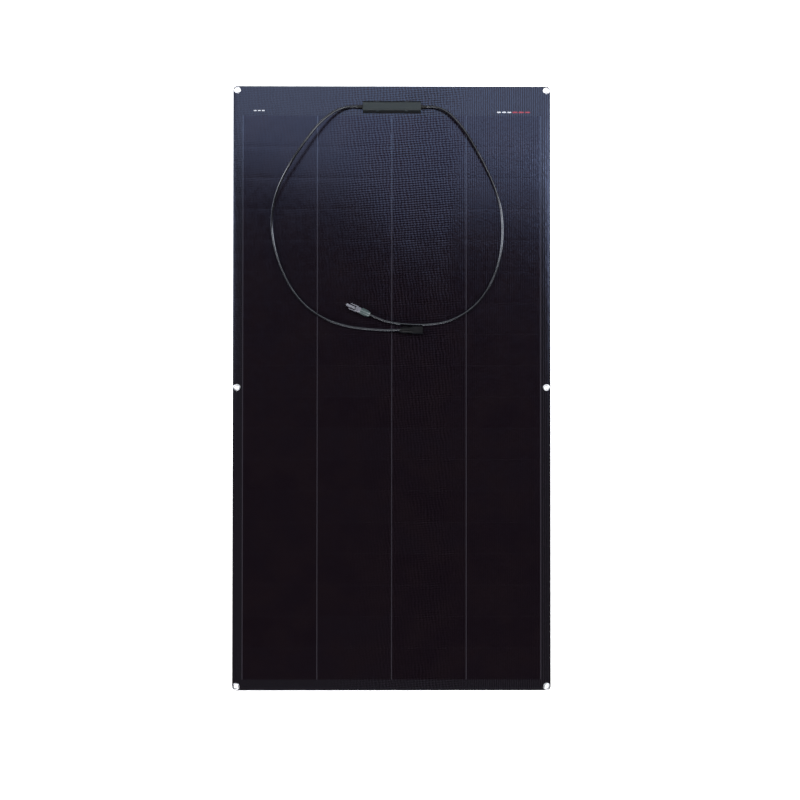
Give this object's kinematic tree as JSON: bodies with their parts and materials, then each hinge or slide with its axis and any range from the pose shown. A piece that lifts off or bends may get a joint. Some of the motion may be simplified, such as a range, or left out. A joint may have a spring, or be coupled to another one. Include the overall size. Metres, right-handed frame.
{
  "type": "flexible solar sheet",
  "caption": "Thin bendable black solar laminate with eyelets along its edges, a slim junction box and two output leads with locking connectors.",
  "frame": {"origin": "middle of the sheet's underside, which lies flat on the ground", "axes": "+Z out of the cell side, +Y along the sheet towards the junction box end, +X across the sheet"},
  "size_m": [0.71, 1.35, 0.0479],
  "materials": {
    "front_film": "embossed matt film over black cells",
    "encapsulant": "clear embedding plastic",
    "cell": "black silicon",
    "back_sheet": "black, fine fibre weave",
    "tinned_ribbon": "satin",
    "eyelet_metal": "bright",
    "box_plastic": "fine grain",
    "lid_plastic": "fine grain",
    "copper": "bare",
    "diode_plastic": "moulded",
    "black_rubber": "matt",
    "lead_sheath": "satin",
    "socket_plastic": "satin",
    "nut_plastic": "satin",
    "plug_plastic": "satin",
    "plug_nut_plastic": "satin",
    "cage_plastic": "satin",
    "contact_metal": "silver plated"
  },
  "bodies": {
    "head": {"back_sheet_head": "back_sheet", "rear_encapsulant_head": "encapsulant", "cells_head": "cell", "front_encapsulant_head": "encapsulant", "front_film_head": "front_film", "bus_ribbons_head": "tinned_ribbon", "eyelets_head": "eyelet_metal", "washers_head": "eyelet_metal", "box_sealant": "black_rubber", "box_tray": "box_plastic", "terminal_rails": "copper", "bypass_diodes": "diode_plastic", "conductor_clamps": "tinned_ribbon", "output_ribbons": "tinned_ribbon", "lead_conductors": "copper", "lid_seal": "black_rubber", "gland_boots": "black_rubber", "lead_left": "lead_sheath", "lead_right": "lead_sheath", "socket_housing": "socket_plastic", "socket_contact": "contact_metal", "socket_nose_seal": "black_rubber", "socket_cable_seal": "black_rubber", "socket_clamp_cage": "cage_plastic", "plug_housing": "plug_plastic", "plug_pin": "contact_metal", "plug_cable_seal": "black_rubber", "plug_clamp_cage": "cage_plastic"},
    "flex_1": {"back_sheet_1": "back_sheet", "rear_encapsulant_1": "encapsulant", "cells_1": "cell", "front_encapsulant_1": "encapsulant", "front_film_1": "front_film", "eyelets_middle": "eyelet_metal", "washers_middle": "eyelet_metal"},
    "flex_2": {"back_sheet_2": "back_sheet", "rear_encapsulant_2": "encapsulant", "cells_2": "cell", "front_encapsulant_2": "encapsulant", "front_film_2": "front_film"},
    "flex_3": {"back_sheet_3": "back_sheet", "rear_encapsulant_3": "encapsulant", "cells_3": "cell", "front_encapsulant_3": "encapsulant", "front_film_3": "front_film"},
    "flex_4": {"back_sheet_4": "back_sheet", "rear_encapsulant_4": "encapsulant", "cells_4": "cell", "front_encapsulant_4": "encapsulant", "front_film_4": "front_film", "bus_ribbons_end": "tinned_ribbon", "eyelets_end": "eyelet_metal", "washers_end": "eyelet_metal"},
    "lid": {"box_lid": "lid_plastic"},
    "finger_a": {"latch_finger_a": "socket_plastic"},
    "finger_b": {"latch_finger_b": "socket_plastic"},
    "socket_nut": {"socket_gland_nut": "nut_plastic"},
    "plug_nut": {"plug_gland_nut": "plug_nut_plastic"}
  },
  "joints": [
    {"name": "bend_1", "type": "hinge", "parent": "head", "child": "flex_1", "pos_m": [0, 0.049, 0.00125], "axis": [-1, 0, 0], "range_deg": [0, 7.5], "stiffness_Nm_per_rad": 22},
    {"name": "bend_2", "type": "hinge", "parent": "flex_1", "child": "flex_2", "pos_m": [0, -0.161, 0.00125], "axis": [-1, 0, 0], "range_deg": [0, 7.5], "stiffness_Nm_per_rad": 22},
    {"name": "bend_3", "type": "hinge", "parent": "flex_2", "child": "flex_3", "pos_m": [0, -0.371, 0.00125], "axis": [-1, 0, 0], "range_deg": [0, 7.5], "stiffness_Nm_per_rad": 22},
    {"name": "bend_4", "type": "hinge", "parent": "flex_3", "child": "flex_4", "pos_m": [0, -0.581, 0.00125], "axis": [-1, 0, 0], "range_deg": [0, 7.5], "stiffness_Nm_per_rad": 22},
    {"name": "lid_lift", "type": "slide", "parent": "head", "child": "lid", "axis": [0, 0, 1], "range_m": [0, 0.03]},
    {"name": "finger_a_flex", "type": "hinge", "parent": "head", "child": "finger_a", "pos_m": [-0.07813, 0.18165, 0.0103], "axis": [0, 0, 1], "range_deg": [0, 5], "stiffness_Nm_per_rad": 0.005},
    {"name": "finger_b_flex", "type": "hinge", "parent": "head", "child": "finger_b", "pos_m": [-0.08309, 0.1705, 0.0103], "axis": [0, 0, -1], "range_deg": [0, 5], "stiffness_Nm_per_rad": 0.005},
    {"name": "socket_nut_turn", "type": "hinge", "parent": "head", "child": "socket_nut", "pos_m": [-0.05905, 0.16647, 0.0103], "axis": [-0.9135, 0.4067, 0], "continuous": true},
    {"name": "plug_nut_turn", "type": "hinge", "parent": "head", "child": "plug_nut", "pos_m": [0.028, 0.128, 0.0103], "axis": [1, 0, 0], "continuous": true}
  ],
  "couplings": [
    {"joint": "bend_2", "follows": "bend_1", "ratio": 1},
    {"joint": "bend_3", "follows": "bend_1", "ratio": 1},
    {"joint": "bend_4", "follows": "bend_1", "ratio": 1},
    {"joint": "finger_b_flex", "follows": "finger_a_flex", "ratio": 1}
  ]
}
